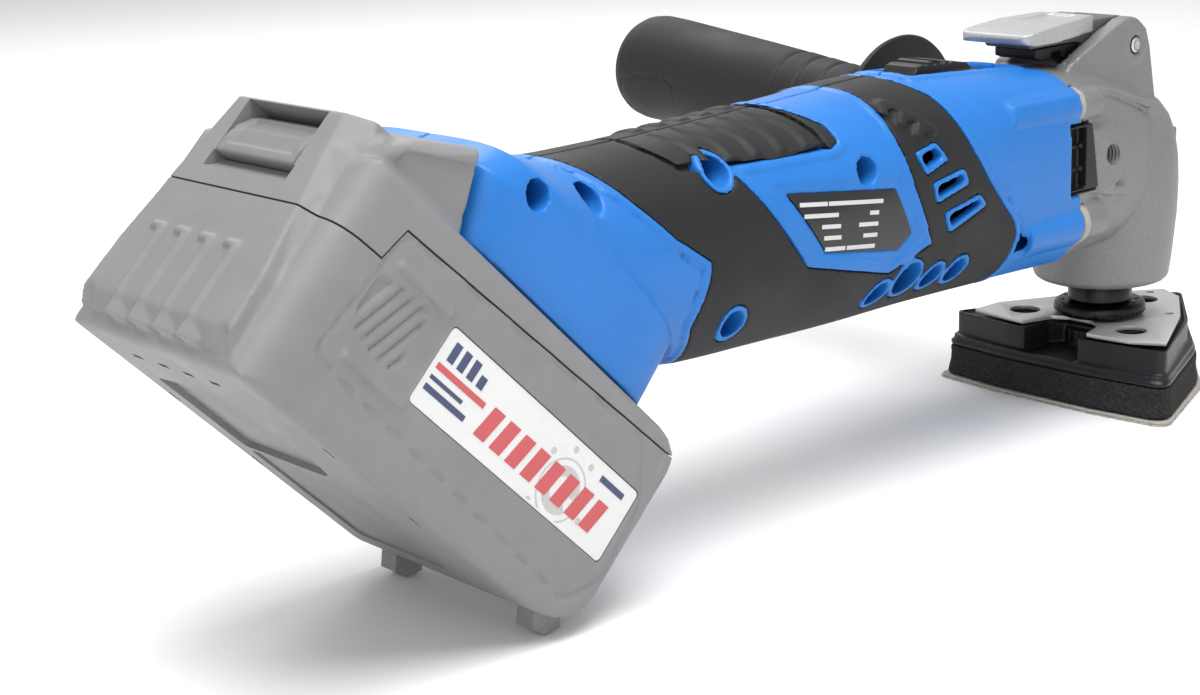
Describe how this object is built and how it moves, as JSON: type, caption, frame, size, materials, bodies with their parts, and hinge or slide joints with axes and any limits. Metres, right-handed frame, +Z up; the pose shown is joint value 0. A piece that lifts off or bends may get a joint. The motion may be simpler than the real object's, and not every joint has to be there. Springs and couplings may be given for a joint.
{
  "type": "oscillating multi tool",
  "caption": "Battery-powered oscillating tool: cast gear head with clamp lever, delta sanding pad, side handle, soft-grip body and slide-on battery pack.",
  "frame": {"origin": "output spindle axis on the working face of the sanding sheet", "axes": "+X from the battery to the gear head along the body, +Y to the left-hand side where the handle is, +Z up along the spindle"},
  "size_m": [0.3943, 0.227, 0.1315],
  "materials": {
    "blue_housing": "satin moulded plastic",
    "soft_grip": "soft overmoulded elastomer",
    "black_plastic": "fine textured moulded plastic",
    "grey_plastic": "fine textured moulded plastic",
    "cast_head": "blasted die casting",
    "lever_silver": "smooth satin",
    "steel": "turned",
    "plate_steel": "brushed",
    "copper": "varnished windings on laminations",
    "board": "circuit board and cell wrap",
    "label_white": "printed film",
    "gasket": "fibre gasket",
    "foam": "open-cell foam with hook surface",
    "abrasive": "coated abrasive paper on fleece"
  },
  "bodies": {
    "tool": {"housing_right": "blue_housing", "housing_left": "blue_housing", "overmould_right": "soft_grip", "overmould_left": "soft_grip", "rating_plate": "black_plastic", "gearbox_housing": "cast_head", "gearbox_gasket": "gasket", "air_outlet_right": "black_plastic", "air_outlet_left": "black_plastic", "spindle_bearing_lower": "steel", "spindle_bearing_upper": "steel", "motor_can": "steel", "motor_bearing_rear": "steel", "motor_end_plate": "steel", "switch_module": "black_plastic", "control_board": "board", "lever_pin": "steel", "handle_core": "black_plastic", "handle_stud": "steel", "handle_guard": "black_plastic", "handle_grip": "soft_grip", "tool_terminal_block": "black_plastic", "head_screw_1": "steel", "head_screw_2": "steel", "head_screw_3": "steel", "head_screw_4": "steel", "housing_screw_1": "steel", "housing_screw_2": "steel", "housing_screw_3": "steel", "housing_screw_4": "steel", "housing_screw_5": "steel"},
    "spindle": {"output_spindle": "steel", "tool_collar": "black_plastic", "oscillating_fork": "steel", "pad_body": "black_plastic", "pad_plate": "plate_steel", "pad_foam": "foam", "sanding_sheet": "abrasive"},
    "clamp_rod": {"clamp_rod": "steel"},
    "lever": {"clamp_lever": "cast_head", "lever_pad": "lever_silver", "lever_cam_block": "black_plastic"},
    "rotor": {"motor_rotor": "copper", "cooling_fan": "black_plastic", "eccentric_shaft": "steel", "eccentric_bearing": "steel"},
    "switch": {"slide_switch": "black_plastic", "switch_link": "steel"},
    "speed_dial": {"speed_dial": "black_plastic"},
    "battery": {"battery_upper_shell": "grey_plastic", "battery_lower_shell": "grey_plastic", "battery_label": "label_white", "battery_cells": "board", "battery_board": "board", "battery_foot_right": "black_plastic", "battery_foot_left": "black_plastic"},
    "battery_latch": {"battery_latch": "grey_plastic", "latch_spring": "steel"}
  },
  "joints": [
    {"name": "spindle_oscillation", "type": "hinge", "parent": "tool", "child": "spindle", "pos_m": [0, 0, 0.05], "axis": [0, 0, 1], "range_deg": [-1.6, 1.6]},
    {"name": "lever_open", "type": "hinge", "parent": "tool", "child": "lever", "pos_m": [-0.005, 0, 0.1125], "axis": [0, 1, 0], "range_deg": [0, 110]},
    {"name": "clamp_release", "type": "slide", "parent": "tool", "child": "clamp_rod", "axis": [0, 0, -1], "range_m": [0, 0.003]},
    {"name": "rotor_spin", "type": "hinge", "parent": "tool", "child": "rotor", "pos_m": [-0.1, 0, 0.081], "axis": [1, 0, 0], "continuous": true},
    {"name": "switch_slide", "type": "slide", "parent": "tool", "child": "switch", "axis": [1, 0, 0], "range_m": [0, 0.01]},
    {"name": "dial_turn", "type": "hinge", "parent": "tool", "child": "speed_dial", "pos_m": [-0.068, 0.0224, 0.0866], "axis": [0, 0, 1], "range_deg": [0, 270]},
    {"name": "battery_slide", "type": "slide", "parent": "tool", "child": "battery", "axis": [-0.7071, 0, 0.7071], "range_m": [0, 0.085]},
    {"name": "latch_press", "type": "slide", "parent": "battery", "child": "battery_latch", "axis": [0.7071, 0, -0.7071], "range_m": [0, 0.0035], "stiffness_N_per_m": 1200, "springref_m": -0.001}
  ],
  "couplings": [
    {"joint": "clamp_release", "follows": "lever_open", "m_per_rad": 0.0015625}
  ]
}
